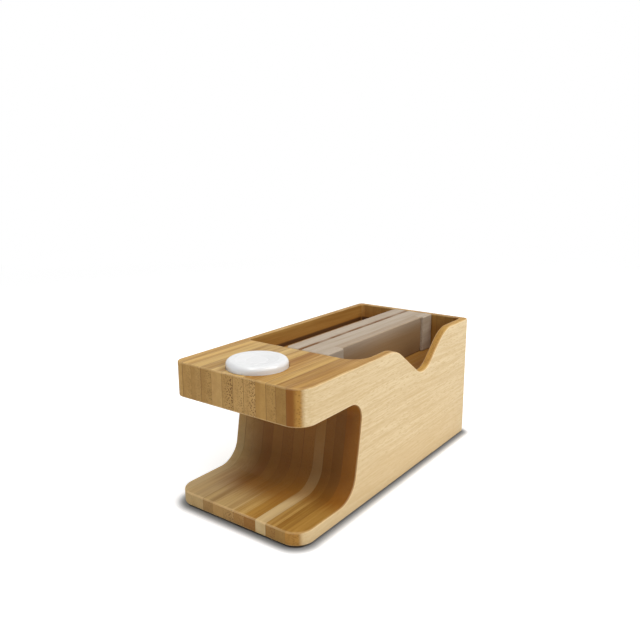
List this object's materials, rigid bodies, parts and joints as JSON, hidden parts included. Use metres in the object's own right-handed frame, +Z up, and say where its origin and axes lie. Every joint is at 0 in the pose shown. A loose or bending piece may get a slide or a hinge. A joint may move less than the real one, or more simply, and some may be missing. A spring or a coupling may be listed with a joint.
{
  "type": "phone and watch stand",
  "caption": "Bamboo stand: a C-shaped end with a shelf and a lift-out charging puck for a watch, and a notched pocket with lift-out spacers that lean a phone back.",
  "frame": {"origin": "middle of the footprint, on the surface that the stand rests on", "axes": "+X from the toe under the watch shelf towards the phone pocket's end, +Y from the notched front face to the back, +Z up"},
  "size_m": [0.159, 0.074, 0.0733],
  "materials": {
    "bamboo": "sanded and sealed, satin, golden brown",
    "pale_bamboo": "sanded and sealed, satin, one pale stave",
    "front_bamboo": "sanded and sealed, satin, light straw long grain",
    "spacer_bamboo": "sanded, satin, pinkish beige",
    "puck_steel": "fine brushed",
    "puck_white": "polished white",
    "coil_copper": "enamelled copper wire, wound flat",
    "magnet_nickel": "nickel plated magnet",
    "foot_rubber": "matt black"
  },
  "bodies": {
    "stand": {"stave_01": "front_bamboo", "stave_02": "bamboo", "stave_03": "bamboo", "stave_04": "pale_bamboo", "stave_05": "bamboo", "stave_06": "bamboo", "stave_07": "bamboo", "stave_08": "bamboo", "stave_09": "bamboo", "stave_10": "bamboo", "stave_11": "bamboo", "stave_12": "bamboo", "foot_1": "foot_rubber", "foot_2": "foot_rubber", "foot_3": "foot_rubber", "foot_4": "foot_rubber"},
    "puck": {"puck_shell": "puck_steel", "puck_cap": "puck_white", "puck_coil": "coil_copper", "puck_magnet": "magnet_nickel"},
    "spacer_front": {"front_spacer": "spacer_bamboo"},
    "spacer_rear": {"rear_spacer": "spacer_bamboo"}
  },
  "joints": [
    {"name": "puck_lift", "type": "slide", "parent": "stand", "child": "puck", "axis": [0, 0, 1], "range_m": [0, 0.03]},
    {"name": "spacer_front_lift", "type": "slide", "parent": "stand", "child": "spacer_front", "axis": [0, 0, 1], "range_m": [0, 0.03]},
    {"name": "spacer_rear_lift", "type": "slide", "parent": "stand", "child": "spacer_rear", "axis": [0, 0, 1], "range_m": [0, 0.03]}
  ]
}
